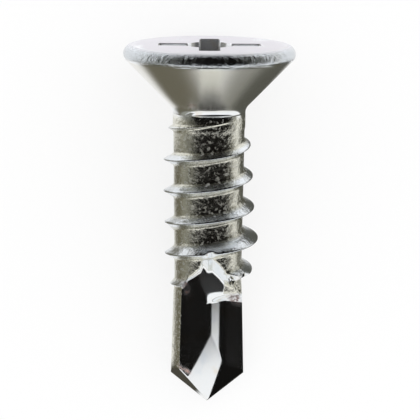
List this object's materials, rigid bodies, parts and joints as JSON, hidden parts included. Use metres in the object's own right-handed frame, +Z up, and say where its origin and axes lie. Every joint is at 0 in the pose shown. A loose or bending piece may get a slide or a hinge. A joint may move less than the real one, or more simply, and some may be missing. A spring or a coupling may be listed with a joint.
{
  "type": "self drilling screw",
  "caption": "Countersunk self drilling screw with a flat head, a cross recess, a coarse right-hand thread and a fluted drill point, lying on its side as it comes to rest.",
  "frame": {"origin": "on the table, under the middle of the screw's bounding box as it lies at rest", "axes": "+Z up; the screw's axis lies in the YZ plane, with the head at +Y and the drill point at -Y, and rises 11.4 degrees towards the head; one flute faces up, leaning 6.0 degrees towards -X"},
  "size_m": [0.0088, 0.0194, 0.0086],
  "materials": {
    "zinc_plated_steel": "bright zinc plating, shiny on the flutes and the thread's flanks, satin under the head"
  },
  "bodies": {
    "root": {"screw": "zinc_plated_steel"}
  },
  "joints": []
}
